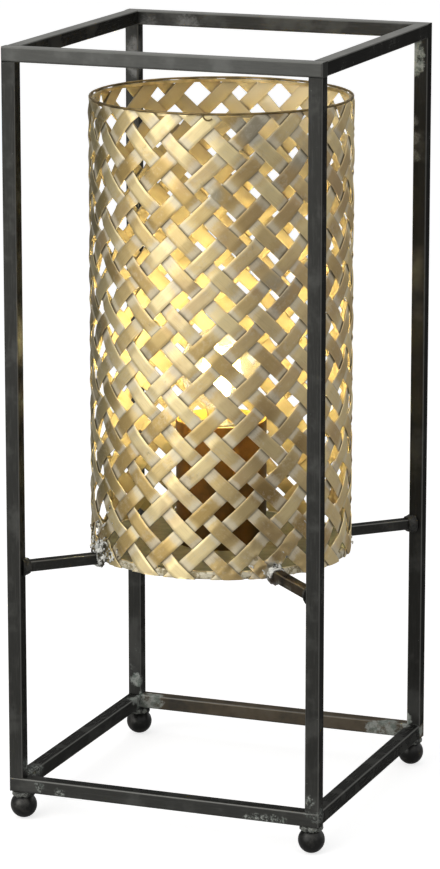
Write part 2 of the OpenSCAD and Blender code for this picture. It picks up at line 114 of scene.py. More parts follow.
class Finish:  # one material, or the world
    def __init__(self, name, world=None):
        self.owner = world or bpy.data.materials.new(name)
        self.owner.use_nodes = True
        self.tree = self.owner.node_tree
        self.tree.nodes.clear()

    def node(self, kind, settings=None, sockets=None, output=0):
        made = self.tree.nodes.new(kind)
        for key, value in (settings or {}).items():
            if key == "stops":
                ramp = made.color_ramp
                while len(ramp.elements) < len(value):
                    ramp.elements.new(0.5)
                for element, (place, shade) in zip(ramp.elements, value):
                    element.position, element.color = place, shade
            else:
                setattr(made, key, value)
        for key, value in (sockets or {}).items():
            if isinstance(value, Wire):
                self.tree.links.new(value.socket, made.inputs[key])
            else:
                made.inputs[key].default_value = value
        return Wire(self, made.outputs[output]) if made.outputs else None

    def place(self, stretch=(1, 1, 1), turn=0.0):  # the piece's own coordinates, in millimetres
        spot = self.node("ShaderNodeTexCoord", output=3)
        return self.node("ShaderNodeMapping", {}, {0: spot, 2: (0, 0, turn), 3: [1000 * s for s in stretch]})

    def noise(self, place, size, detail=3.0, rough=0.55, output=0):  # size of a blotch in millimetres
        return self.node("ShaderNodeTexNoise", {}, {"Vector": place, "Scale": 1 / size, "Detail": detail,
                                                    "Roughness": rough}, output)

    def mix(self, mask, first, second):
        return self.node("ShaderNodeMix", {"data_type": "RGBA"}, {0: mask, 6: first, 7: second}, 2)

    def own(self, name):  # a value that the mesh carries
        return self.node("ShaderNodeAttribute", {"attribute_name": name}, output=2)

    def parts(self, vector):
        split = self.node("ShaderNodeSeparateXYZ", {}, {0: vector})
        outs = split.socket.node.outputs
        return [Wire(self, outs[k]) for k in range(3)]

    def facing(self, place, direction):  # how far the place lies in a direction
        return self.node("ShaderNodeVectorMath", {"operation": "DOT_PRODUCT"}, {0: place, 1: direction}, 1)

    def ray(self, kind):
        return self.node("ShaderNodeLightPath", output="Is " + kind + " Ray")

    def seen(self):  # 1 where it is looked at, straight or through glass
        return self.ray("Camera").most(self.ray("Transmission"))

    def shaken(self, place, size, far):  # the place moved by up to half of far millimetres, for ragged outlines
        stir = self.noise(place, size, 3, 0.6, 1)
        moved = self.node("ShaderNodeVectorMath", {"operation": "SUBTRACT"}, {0: stir, 1: (0.5, 0.5, 0.5)})
        return self.node("ShaderNodeVectorMath", {"operation": "MULTIPLY_ADD"},
                         {0: moved, 1: (far, far, far), 2: place})

    def near(self, place, spots):  # 1 at each of the spots, 0 beyond its reach
        nearest = None
        for spot, reach in spots:
            away = self.node("ShaderNodeVectorMath", {"operation": "DISTANCE"}, {0: place, 1: spot}, 1)
            close = 1 - away.rise(reach * 0.35, reach)
            nearest = close if nearest is None else nearest.most(close)
        return nearest

    def bump(self, height, depth):  # depth of full height in millimetres
        return self.node("ShaderNodeBump", {}, {"Strength": 1.0, "Distance": depth * mm, "Height": height})

    def surface(self, **sockets):
        names = {key.replace("_", " "): value for key, value in sockets.items()}
        shader = self.node("ShaderNodeBsdfPrincipled", {}, names)
        self.close(shader)
        return self.owner

    def close(self, shader):
        kind = "ShaderNodeOutputWorld" if isinstance(self.owner, bpy.types.World) else "ShaderNodeOutputMaterial"
        self.node(kind, {}, {0: shader})


def meshPiece(name, points, faces):
    mesh = bpy.data.meshes.new(name)
    mesh.from_pydata([tuple(p) for p in points], [], [tuple(f) for f in faces])
    mesh.polygons.foreach_set("use_smooth", [True] * len(mesh.polygons))
    mesh.update()
    piece = bpy.data.objects.new(name, mesh)
    bpy.context.scene.collection.objects.link(piece)
    return piece


def gridFaces(rows, columns):  # faces between rows of points, each row closed on itself
    faces = []
    for i in range(rows - 1):
        for j in range(columns):
            k = (j + 1) % columns
            faces.append((i * columns + j, i * columns + k, (i + 1) * columns + k, (i + 1) * columns + j))
    return faces


def turned(name, outline, steps=96, centre=(0, 0), shape=None):  # outline of (radius, height) in mm, turned round Z
    points = []
    for radius, height in outline:
        for s in range(steps):
            angle = 2 * math.pi * s / steps
            r = max(radius, 0.0005) + (shape(angle, radius, height) if shape else 0)
            x, y = centre[0] + r * math.cos(angle), centre[1] + r * math.sin(angle)
            points.append((x * mm, y * mm, height * mm))
    return meshPiece(name, points, gridFaces(len(outline), steps))


def arc(centre, radius, start, end, steps):  # points of (radius, height) along an arc, in degrees
    angles = [math.radians(start + (end - start) * k / steps) for k in range(steps + 1)]
    return [(centre[0] + radius * math.cos(a), centre[1] + radius * math.sin(a)) for a in angles]


def carry(piece, finish, body, slotName, *nodes):
    piece.data.materials.clear()
    piece.data.materials.append(finish)
    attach(piece, body)
    if nodes:
        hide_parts(*nodes)
    return piece


def coat(finish, *names):  # a CAD part keeps its shape and gets this finish
    for name in names:
        part = frame["nodes"][name]
        for slot in part.material_slots:
            slot.material = finish


def lumpy(name, balls, voxel):  # drops melted together: (x, y, z, radius) each, in millimetres
    ball = bmesh.new()
    bmesh.ops.create_icosphere(ball, subdivisions=2, radius=1)
    ball.verts.index_update()
    corners = np.array([tuple(v.co) for v in ball.verts])
    sides = [[v.index for v in face.verts] for face in ball.faces]
    ball.free()
    points, faces = [], []
    for x, y, z, radius in balls:
        faces += [[len(points) + k for k in side] for side in sides]
        points += [tuple(p) for p in (corners * radius + (x, y, z)) * mm]
    piece = meshPiece(name, points, faces)
    remeshed(piece, voxel)
    return piece


def remeshed(piece, voxel):
    remesh = piece.modifiers.new("fine", "REMESH")
    remesh.mode, remesh.voxel_size = "VOXEL", voxel * mm
    fine = bpy.data.meshes.new_from_object(piece.evaluated_get(bpy.context.evaluated_depsgraph_get()))
    piece.modifiers.clear()
    piece.data = fine
    fine.polygons.foreach_set("use_smooth", [True] * len(fine.polygons))
    return fine


def roughened(name, node, voxel, height, size, seed):  # the CAD part's shape, remeshed fine and made lumpy
    source = frame["nodes"][node]
    piece = bpy.data.objects.new(name, source.data.copy())
    bpy.context.scene.collection.objects.link(piece)
    fine = remeshed(piece, voxel)
    normals = [v.normal.copy() for v in fine.vertices]
    offset = Vector((seed * 7.3, seed * 3.1, seed * 5.7))
    for vertex, normal in zip(fine.vertices, normals):
        spot = vertex.co / (size * mm) + offset
        swell = noise.noise(spot) + 0.5 * noise.noise(spot * 2.3)
        vertex.co += normal * swell * height * mm
    fine.update()
    return piece


studio = {
    "azimuth": 21.057, "elevation": 12.924, "roll": 0.008,
    "distance": 2.2, "aside": -0.00074, "height": 0.20438, "lens": 165.5,
    "keyLight": {"azimuth": -24, "elevation": 20, "distance": 1.35, "size": (1.2, 1.4), "power": 10.5,
                 "tint": (1.0, 0.985, 0.96)},
    "topLight": {"azimuth": 10, "elevation": 80, "distance": 1.5, "size": (1.2, 1.2), "power": 3.0,
                 "tint": (1.0, 1.0, 1.0)},
    "aimHeight": 0.21, "ambient": 0.44, "mirrorLow": 0.38, "mirrorHigh": 0.95, "shadeSide": (-0.86, 0.50, 0.05),
    "floor": 0.68, "floorGlow": 0.70, "floorReach": 6, "floorDrop": 0.0004,
}


def aimed(azimuth, elevation, distance, target):
    a, e = math.radians(azimuth), math.radians(elevation)
    back = Vector((math.sin(a) * math.cos(e), -math.cos(a) * math.cos(e), math.sin(e)))
    return Vector(target) + back * distance, back


def buildCamera():
    a, roll = math.radians(studio["azimuth"]), math.radians(studio["roll"])
    flat = Vector((math.cos(a), math.sin(a), 0))
    position, back = aimed(studio["azimuth"], studio["elevation"], studio["distance"],
                           flat * studio["aside"] + Vector((0, 0, studio["height"])))
    upright = back.cross(flat)
    right = flat * math.cos(roll) + upright * math.sin(roll)
    up = upright * math.cos(roll) - flat * math.sin(roll)
    data = bpy.data.cameras.new("camera")
    data.lens, data.sensor_width = studio["lens"], 36
    camera = bpy.data.objects.new("camera", data)
    turn = Matrix((right, up, back)).transposed().to_4x4()
    camera.matrix_world = Matrix.Translation(position) @ turn
    bpy.context.scene.collection.objects.link(camera)
    bpy.context.scene.camera = camera


def buildLight(name):
    wanted = studio[name]
    data = bpy.data.lights.new(name, "AREA")
    data.shape, data.energy, data.color = "RECTANGLE", wanted["power"], wanted["tint"]
    data.size, data.size_y = wanted["size"]
    position, back = aimed(wanted["azimuth"], wanted["elevation"], wanted["distance"], (0, 0, studio["aimHeight"]))
    light = bpy.data.objects.new(name, data)
    light.matrix_world = Matrix.Translation(position) @ back.to_track_quat("Z", "Y").to_matrix().to_4x4()
    bpy.context.scene.collection.objects.link(light)


def buildAir():  # white where it is seen, softer as light; metal sees a brighter ceiling than walls
    world = bpy.data.worlds.new("studioAir")
    bpy.context.scene.world = world
    air = Finish("studioAir", world)
    seen, gloss = air.seen(), air.ray("Glossy")
    around = air.node("ShaderNodeTexCoord", output=0)
    ceiling = air.parts(around)[2].rise(0.02, 0.35)
    mirrored = studio["mirrorLow"] + ceiling * (studio["mirrorHigh"] - studio["mirrorLow"])
    mirrored = mirrored * (1 - air.facing(around, studio["shadeSide"]).rise(0.35, 0.95) * 0.5)
    strength = seen + (1 - seen) * (gloss * mirrored + (1 - gloss) * studio["ambient"])
    air.close(air.node("ShaderNodeBackground", {}, {0: (1, 1, 1, 1), 1: strength}))


def buildFloor():
    reach, level = studio["floorReach"], -studio["floorDrop"]
    corners = [(-reach, -reach, level), (reach, -reach, level), (reach, reach, level), (-reach, reach, level)]
    floor = meshPiece("floor", corners, [(0, 1, 2, 3)])
    pale = Finish("paleFloor")
    matt = pale.node("ShaderNodeBsdfDiffuse", {}, {0: (studio["floor"],) * 3 + (1,)})
    glow = pale.node("ShaderNodeEmission", {}, {0: (1, 1, 1, 1), 1: pale.seen() * studio["floorGlow"]})
    pale.close(pale.node("ShaderNodeAddShader", {}, {0: matt, 1: glow}))
    floor.data.materials.append(pale.owner)


buildCamera()
buildLight("keyLight")
buildLight("topLight")
buildAir()
buildFloor()
print("studio ready")

# a spot is its place and its reach, in millimetres
frameLook = {
    "paintedShadeColour": (26, 25, 22), "steel": (52, 52, 50), "paler": (78, 78, 75), "edge": (126, 126, 122),
    "bronze": (104, 90, 70), "dustAndSheen": (112, 113, 110), "paintedTopLight": (162, 162, 157), "scuff": (120, 120, 118),
    "chalk": (176, 180, 174), "verdigris": (126, 136, 129),
    "chalkSpots": [((-76, 80, 20), 16), ((-84, 80, 32), 9), ((70, 80, 19), 15), ((80, 80, 27), 11),
                   ((62, 80, 19), 9), ((81, 80, 411), 13), ((81, 80, 402), 12), ((88, 84, 20), 7),
                   ((-83, 72, 24), 7)],
    "chipSpots": [((-72, -90, 20), 3.5), ((-60, -90, 17), 4.5), ((50, -90, 17), 3), ((54, -90, 17.5), 3.5),
                  ((59, -90, 17), 4), ((65, -90, 17.5), 3.5), ((70, -90, 18), 3), ((85, -92, 30), 4),
                  ((84, -92, 22), 4), ((-81, -85, 30), 6), ((-83, -74, 23), 8), ((-83, -66, 22), 6),
                  ((88, -86, 22), 6), ((84, -84, 417), 4), ((66, -66, 139), 6), ((58, -58, 139), 5),
                  ((-88, 76, 40), 7), ((-84, 78, 50), 5)],
    "scuffSpots": [((-83, 80, 404), 13), ((-83, 80, 392), 10), ((-52, 82, 418), 13), ((-76, 82, 419), 9),
                   ((80, 80, 372), 9), ((82, 80, 362), 8), ((83, 80, 352), 7)],
    "paintedTopLightHeights": [424.0, 425.3], "dustHeights": [20, 60],
}


def blackenedSteel(name, along, quarter=0.0, warmTintAndReflection=0.0, darker=0.0, paintedSheen=0.0):
    look = paints(frameLook)
    finish = Finish(name)
    stretch = [1.0, 1.0, 1.0]
    stretch[along] = 0.08
    place = finish.place()
    grain = finish.noise(finish.place(stretch, quarter), 0.8, 4, 0.6)
    cloud = finish.noise(place, 22, 4, 0.6)
    fleck = finish.noise(place, 3.2, 5, 0.7)
    rough = finish.noise(place, 3.0, 5, 0.7)
    normal = finish.node("ShaderNodeTexCoord", output=1)
    height, upward = finish.parts(place)[2], finish.parts(normal)[2]
    if quarter:
        normal = finish.node("ShaderNodeMapping", {}, {0: normal, 2: (0, 0, quarter)})
    across = [abs(part) for part in finish.parts(normal)]
    flatness = across[0].most(across[1]).most(across[2])
    # the rounded edges go paler: edge wear, and partly a painted highlight along them
    edge = 1 - flatness.rise(0.80, 0.985)
    paler = (edge * (0.55 + 0.9 * fleck)).least(1.0)
    # painted light: the upward top faces of the top rails are made paler
    paintedTopLight = upward.rise(0.75, 0.97) * height.rise(*frameLook["paintedTopLightHeights"])
    base = finish.mix(cloud.rise(0.46, 0.72) * 0.45, look["steel"], look["paler"])
    base = finish.mix(grain.rise(0.45, 0.75) * 0.35, base, look["paler"])
    # a warm brown: on the back bottom rail a painted reflection of the glowing brass shade, on two arms a brown tint
    if warmTintAndReflection:
        base = finish.mix(cloud.rise(0.25, 0.6) * warmTintAndReflection, base, look["bronze"])
    # painted shade: the darker share makes the steel darker, used on the back right post
    base = finish.mix(darker, base, look["paintedShadeColour"])
    dusty = (1 - height.rise(*frameLook["dustHeights"])) * 0.12 + cloud.rise(0.50, 0.66) * 0.12
    # dust low down and in blotches, and a painted sheen that makes the front top rail lighter
    base = finish.mix((dusty + paintedSheen * (0.4 + cloud)).least(1.0), base, look["dustAndSheen"])
    base = finish.mix(paintedTopLight * (0.35 + cloud * 0.6).least(1.0), base, look["paintedTopLight"])
    scuffed = (finish.near(place, frameLook["scuffSpots"]) * 0.5 + rough * 0.9).rise(0.72, 1.08)
    base = finish.mix(scuffed * 0.65, base, look["scuff"])
    base = finish.mix(paler * 0.6, base, look["edge"])
    ragged = finish.shaken(place, 5.0, 6.0)
    patch = finish.near(ragged, frameLook["chalkSpots"]) * 0.55 + finish.noise(place, 4.5, 5, 0.7) * 0.9
    chip = finish.near(ragged, frameLook["chipSpots"]) * finish.noise(place, 1.5, 3, 0.7).rise(0.45, 0.6)
    patch = patch.rise(0.84, 1.02).most(chip)
    base = finish.mix(patch * 0.75, base, finish.mix(fleck.rise(0.45, 0.6), look["chalk"], look["verdigris"]))
    specks = finish.noise(place, 1.4, 2, 0.5).rise(0.77, 0.82)
    base = finish.mix(specks * 0.4, base, look["chalk"])
    return finish.surface(
        Base_Color=base, Metallic=0.85 - (patch * 0.6).most(paintedTopLight * 0.5), Roughness=0.40 + cloud * 0.16 + patch * 0.3,
        Specular_Tint=(0.3, 0.3, 0.3, 1),
        Normal=finish.bump(grain * 0.5 + fleck * 0.4 + patch * 0.6, 0.09))


coat(blackenedSteel("blackenedSteelUp", 2), "post_front_left", "post_front_right", "post_back_left")
coat(blackenedSteel("blackenedSteelCorner", 2, darker=0.5), "post_back_right")
coat(blackenedSteel("blackenedSteelWide", 0), "bottom_rail_front", "top_rail_back")
coat(blackenedSteel("blackenedSteelTop", 0, paintedSheen=0.34), "top_rail_front")
coat(blackenedSteel("blackenedSteelBack", 0, warmTintAndReflection=0.75), "bottom_rail_back")
coat(blackenedSteel("blackenedSteelDeep", 1),
     "bottom_rail_left", "bottom_rail_right", "top_rail_left", "top_rail_right")
coat(blackenedSteel("blackenedSteelArmA", 0, math.radians(-45)), "arm_front_left", "arm_back_right")
coat(blackenedSteel("blackenedSteelArmB", 0, math.radians(45), 0.55), "arm_front_right", "arm_back_left")

feet = {"ball": 7.3, "middle": 7.02, "flat": 2.0, "neck": 4.7, "top": 15.5, "inset": 84, "wobble": 0.06,
        "iron": (36, 36, 35), "rub": (66, 65, 62)}


def ballIron():
    look = paints(feet)
    finish = Finish("ballIron")
    place = finish.place()
    cloud = finish.noise(place, 6, 4, 0.6)
    pits = finish.noise(place, 1.1, 4, 0.65)
    base = finish.mix(cloud.rise(0.45, 0.72), look["iron"], look["rub"])
    return finish.surface(Base_Color=base, Metallic=0.7, Roughness=0.24 + cloud * 0.2,
                          Normal=finish.bump(pits, 0.05))


def buildFoot(side, depth, iron):
    where = ("back_" if depth > 0 else "front_") + ("right" if side > 0 else "left")
    low = math.degrees(math.acos(feet["flat"] / feet["ball"]))
    high = math.degrees(math.acos(feet["neck"] / feet["ball"]))
    outline = [(0, 0), (feet["flat"], 0)] + arc((0, feet["middle"]), feet["ball"], -low, high, 40)[1:]
    outline += [(feet["neck"], feet["top"] - 0.1), (feet["neck"], feet["top"]), (0, feet["top"])]

    def wobble(angle, radius, height):
        return feet["wobble"] * math.sin(2 * angle + side + 3 * depth) if 2.5 < radius < 8 else 0
    foot = turned("ballFoot_" + where, outline, 64, (side * feet["inset"], depth * feet["inset"]), wobble)
    foot.data.set_sharp_from_angle(angle=math.radians(50))
    carry(foot, iron, "lantern", "ball_steel", "ball_foot_" + where)


ballFinish = ballIron()
for side in (-1, 1):
    for depth in (-1, 1):
        buildFoot(side, depth, ballFinish)

# beads by hand: how fine the mesh is, how high and wide their lumps are, and the pale and dark silver
beads = {
    "fine": 0.22, "footLumps": [0.55, 1.6], "postLumps": [0.22, 1.2], "shadeLumps": [0.75, 1.7],
    "footSilver": [(118, 120, 115), (58, 59, 57)], "postGrey": [(62, 62, 60), (40, 40, 38)],
    "bandSilver": [(214, 206, 182), (150, 138, 106)],
    "bandOutline": [(69.4, 140.5), (70.3, 140.52), (70.7, 140.8), (70.75, 141.6), (70.7, 142.6), (70.6, 143.6),
                    (70.45, 144.4), (70.1, 144.9), (69.4, 145.0), (69.4, 140.5)],
}


def brazeSilver(name, pale, dark, burnt=None):
    finish = Finish(name)
    place = finish.place()
    lumps = finish.noise(place, 1.5, 5, 0.7)
    cloud = finish.noise(place, 3.6, 4, 0.65)
    base = finish.mix(cloud.rise(0.42, 0.54), paintColour(*dark), paintColour(*pale))
    if burnt:
        colour, spots = burnt
        base = finish.mix(finish.near(finish.shaken(place, 3.0, 3.0), spots) * 0.85, base, paintColour(*colour))
    return finish.surface(Base_Color=base, Metallic=0.6, Roughness=0.42 + lumps * 0.25,
                          Normal=finish.bump(lumps, 0.35))


def solderBand():  # solder between the strips along the bottom hoop, uneven by hand
    def uneven(angle, radius, height):
        spot = Vector((math.cos(angle) * 12, math.sin(angle) * 12, height * 0.5))
        return 0 if radius < 69.8 else max(-0.25, 0.35 * noise.noise(spot) + 0.25 * noise.noise(spot * 2.7))
    return turned("solderBand", beads["bandOutline"], 720, (0, 0), uneven)


carry(roughened("footBraze", "foot_welds", beads["fine"], *beads["footLumps"], 3),
      brazeSilver("footBrazeSilver", *beads["footSilver"]), "lantern", "braze", "foot_welds")
carry(roughened("postWelds", "arm_welds", beads["fine"], *beads["postLumps"], 5),
      brazeSilver("postWeldGrey", *beads["postGrey"]), "lantern", "braze", "arm_welds")
carry(solderBand(), brazeSilver("bandSolder", *beads["bandSilver"]), "lantern", "braze")
print("frame finished")

weave = {
    "count": 19, "width": 8.0, "thick": 0.7, "rise": 22.85, "step": 0.5, "radius": 71.15, "gapStep": 4.3,
    "bottom": 140.5, "height": 251.3, "risingGap": -79.8, "fallingGap": -36.3, "risingSeam": -14, "fallingSeam": -6,
    "rowStep": 0.7, "arch": 0.03, "crown": 0.01, "tilt": 0.20, "drift": 0.16, "buckle": 0.06, "waver": 0.12,
    "flat": 0.95, "crumple": 1.5, "crumpleWide": 16.0, "crumpleTall": 18.0, "dish": 5.2, "seed": 11,
}
pitch = 360 / weave["count"]
slope = math.atan(weave["rise"] / (math.radians(pitch) * weave["radius"]))
degreesAcross = math.degrees(1 / weave["radius"] / math.sin(slope))
foldTilt = weave["rise"] / (2 * pitch)
halfLand = (weave["width"] / 2 + 0.4) * degreesAcross
stagger = weave["gapStep"] / 4 * degreesAcross


def setOver(n, seam):
    turn = n - weave["count"] * math.floor((n - seam) / weave["count"])
    return stagger if turn % 2 == 0 else -stagger


def risingAngle(n):
    return weave["risingGap"] + (n + 0.5) * pitch + setOver(n, weave["risingSeam"])


def fallingAngle(n):
    return weave["fallingGap"] + (n + 0.5) * pitch + setOver(n, weave["fallingSeam"])


def stripMet(n, rising):  # own angle and the crossings as (angle, side), as the mirrored strip sees them
    steps = math.ceil(2 * weave["height"] / weave["rise"]) + 4
    if rising:
        own = risingAngle(n)
        first = math.floor((own - weave["fallingGap"]) / pitch) - 2
        return own, [(fallingAngle(m), -1 if (m - n) % 2 == 0 else 1) for m in range(first, first + steps + 1)]
    own = fallingAngle(n)
    first = math.ceil((own - weave["risingGap"]) / pitch) + 1
    return -own, [(-risingAngle(m), 1 if (n - m) % 2 == 0 else -1) for m in range(first, first - steps - 1, -1)]


# cross-section of a strip: across, outwards and 1 on the inner face
half, thick = weave["width"] / 2, weave["thick"] / 2
section = [
    (-half, 0.0, 0.5), (-half + 0.04, thick * 0.70, 0), (-half + 0.18, thick, 0),
    (-half * 0.55, thick + weave["crown"] * 0.8, 0), (0, thick + weave["crown"], 0),
    (half * 0.55, thick + weave["crown"] * 0.8, 0), (half - 0.18, thick, 0),
    (half - 0.04, thick * 0.70, 0), (half, 0.0, 0.5), (half - 0.06, -thick * 0.8, 1), (half - 0.25, -thick, 1),
    (0, -thick, 1), (-half + 0.25, -thick, 1), (-half + 0.06, -thick * 0.8, 1)]


def crumpled(x, y, z):  # strips are dented where an arm was soldered on, most of all at the front right
    aside = math.degrees(math.atan2(y, x)) % 90 - 45
    beaten = 1.0 if x > 0 > y else 0.0
    wide, tall = weave["crumpleWide"] * (1 + 0.5 * beaten), weave["crumpleTall"] * (1 + 0.5 * beaten)
    near = math.exp(-(math.radians(aside) * weave["radius"] / wide) ** 2 - (z / tall) ** 2)
    if near < 0.02:
        return 0.0, 0.0
    spot = Vector((x, y, z * 1.2)) / weave["dish"]
    crease = 0.45 - 2.4 * abs(noise.noise(spot + Vector((5, 3, 1))))  # sharp ridges between shallow dishes
    dent = noise.noise(spot * 1.5) * (1 - 0.4 * beaten) + crease * (0.3 + 0.9 * beaten)
    return near * weave["crumple"] * dent, near


def stripMesh(n, rising, rng):
    own, met = stripMet(n, rising)
    keys, values, plateaus, middles, tones, leans, drifts = [], [], [], [], [], [], []
    reach = foldTilt * halfLand
    for angle, side in met:
        middle = foldTilt * (angle - own)
        keys += [middle - reach, middle, middle + reach]
        values += [side * (1 - weave["arch"]), side, side * (1 - weave["arch"])]
        # every land leans, drifts and has tarnished a little its own way
        plateaus += [middle - reach, middle + reach]
        middles += [own + pitch * middle / weave["rise"]] * 2
        tones += [rng.uniform(0, 1)] * 2
        leans += [rng.uniform(-1, 1) * weave["tilt"]] * 2
        drifts += [rng.uniform(-1, 1) * weave["drift"] for end in range(2)]
    corner = foldTilt * half * degreesAcross
    fine = np.arange(-corner - 4, weave["height"] + corner + 4, 0.25)
    window = np.hanning(9)
    wave = np.convolve(np.interp(fine, keys, values), window / window.sum(), mode="same")
    reachUp = weave["height"] + corner
    rows = np.linspace(-corner, reachUp, int((reachUp + corner) / weave["rowStep"]) + 1)
    points, data = [], {key: [] for key in ("across", "along", "under", "inner", "rim", "tone", "strip", "heat")}
    stripTone = rng.uniform(0, 1)
    mirror = 1 if rising else -1
    home = Vector((math.cos(math.radians(own)) * 40, math.sin(math.radians(own)) * 40, mirror * 25))
    for k in rows:
        level = np.interp(k, fine, wave)
        toneHere, leanHere, driftHere, facing = (
            np.interp(k, plateaus, lands) for lands in (tones, leans, drifts, middles))
        waver = weave["waver"] * noise.noise(home + Vector((k / 9, 0, 0)))
        for across, outward, inner in section:
            edge = (across * (1 + waver / half) + driftHere) * degreesAcross
            z = min(max(k - foldTilt * edge, 0.0), weave["height"])
            bend = own + (k - z) / foldTilt + pitch * z / weave["rise"]
            buckle = weave["buckle"] * noise.noise(home * 1.7 + Vector((k / 7, across / 5, 0)))
            t = math.radians(bend)
            # hammered flat between its folds
            flat = weave["radius"] * (1 / math.cos(t - math.radians(facing)) - 1) * weave["flat"]
            dent, near = crumpled(weave["radius"] * math.cos(t), mirror * weave["radius"] * math.sin(t), z)
            r = weave["radius"] + level * weave["step"] + outward + leanHere * across / half + buckle + flat + dent
            points.append((r * math.cos(t) * mm, mirror * r * math.sin(t) * mm, (z + weave["bottom"]) * mm))
            carried = (across, z / math.sin(slope), 0.5 - 0.5 * level, inner, max(0.0, abs(across) - half + 1.0),
                       toneHere, stripTone, near)
            for key, value in zip(data, carried):
                data[key].append(value)
    columns = len(section)
    faces = gridFaces(len(rows), columns)
    faces.append(tuple(range(columns))[::-1])
    last = (len(rows) - 1) * columns
    faces.append(tuple(range(last, last + columns)))
    if rising:
        faces = [f[::-1] for f in faces]
    return points, faces, data


def onStrip(degrees, z):  # whether a strip of either family is there
    climb = pitch * z / weave["rise"]
    for base, place in ((risingAngle, degrees - climb), (fallingAngle, degrees + climb)):
        for n in range(weave["count"]):
            away = (place - base(n) + 180) % 360 - 180
            if abs(away) < (half - 0.6) * degreesAcross:
                return True
    return False


# drops of solder that ran over the strips beside each arm: how many, how far, how large, in millimetres,
# and the share of them at each arm, from the back right one round to the front right
runs = {
    "streaks": 110, "aside": 17.0, "upward": 18.0, "small": 0.45, "large": 1.25, "fine": 0.24,
    "wall": 72.4, "low": 140.4, "seed": 5, "shares": [0.5, 0.5, 1.0, 0.14],
    "silver": (226, 226, 220), "dark": (70, 68, 58),
    "burnt": [(66, 52, 42), [((52.5, -52.5, 139), 8), ((53, -51.5, 142), 5)]],
}


def solderRuns(rng):
    balls = []
    for arm, share in enumerate(runs["shares"]):
        middle = math.radians(45 + 90 * arm)
        for k in range(int(runs["streaks"] * share)):
            aside = rng.gauss(0, runs["aside"] * 0.6)
            upward = abs(rng.gauss(0, runs["upward"] * 0.55))
            fading = max(0.5, 1 - upward / 30 - abs(aside) / 30)
            heading = rng.uniform(0.4, 2.7)
            radius = rng.uniform(runs["small"], runs["large"]) * fading
            reach = runs["wall"] + rng.uniform(-0.25, 0.35)
            for step in range(rng.randint(3, 9)):
                heading += rng.uniform(-0.5, 0.5)
                aside += math.cos(heading) * radius * 0.9
                upward = max(0, upward + math.sin(heading) * radius * 0.9)
                size = radius * rng.uniform(0.75, 1.15)
                angle = middle + aside / runs["wall"]
                held = onStrip(math.degrees(angle), upward) or upward < 3 or (abs(aside) < 3.5 and upward < 7)
                if held:
                    balls.append((reach * math.cos(angle), reach * math.sin(angle), runs["low"] + size + upward, size))
    return lumpy("solderRuns", balls, runs["fine"])


def buildFamily(name, rising, seam, rng):
    points, faces, data = [], [], {}
    for n in range(seam, seam + weave["count"]):
        p, f, d = stripMesh(n, rising, rng)
        faces += [tuple(len(points) + i for i in face) for face in f]
        points += p
        for key, value in d.items():
            data.setdefault(key, []).extend(value)
    piece = meshPiece(name, points, faces)
    for key, value in data.items():
        layer = piece.data.attributes.new(key, "FLOAT", "POINT")
        layer.data.foreach_set("value", value)
    mesh = piece.data
    work = bmesh.new()
    work.from_mesh(mesh)
    bmesh.ops.remove_doubles(work, verts=work.verts, dist=0.00001)
    bmesh.ops.dissolve_degenerate(work, edges=work.edges, dist=0.00001)
    work.to_mesh(mesh)
    work.free()
    mesh.polygons.foreach_set("use_smooth", [True] * len(mesh.polygons))
    return piece


weaveLook = {
    "gold": (239, 220, 168), "honey": (211, 181, 116), "silver": (227, 219, 198), "rose": (192, 163, 124),
    "blue": (166, 168, 158), "brown": (132, 108, 66), "rightShadeUmber": (188, 162, 122), "leftShadeOlive": (100, 92, 56),
    "bright": (250, 240, 212), "solder": (176, 176, 168), "paintedCreviceShade": (84, 72, 48),
    "scorch": (116, 104, 66), "ash": (164, 145, 133), "inside": (164, 150, 116), "litRimInside": (220, 208, 176),
    # sides of the shade: painted shade on the left and right sides, painted light on the inside near the rim
    "shadedLeftSide": [-0.929, -0.369, 0], "shadedRightSide": [0.86, -0.51, 0], "litRimSide": [0.75, 0.66, 0],
    "brownSpots": [((48, -50, 170), 46), ((50, -50, 210), 30)],
    "solderSpots": [((50.6 * x, 50.6 * y, 143), 10) for x in (-1, 1) for y in (-1, 1)],
    "greyLands": [((42, -57, 384), 15), ((60, -38, 372), 16), ((20, -68, 350), 9), ((-20, -68, 240), 8),
                  ((50, -50, 300), 11)],
}


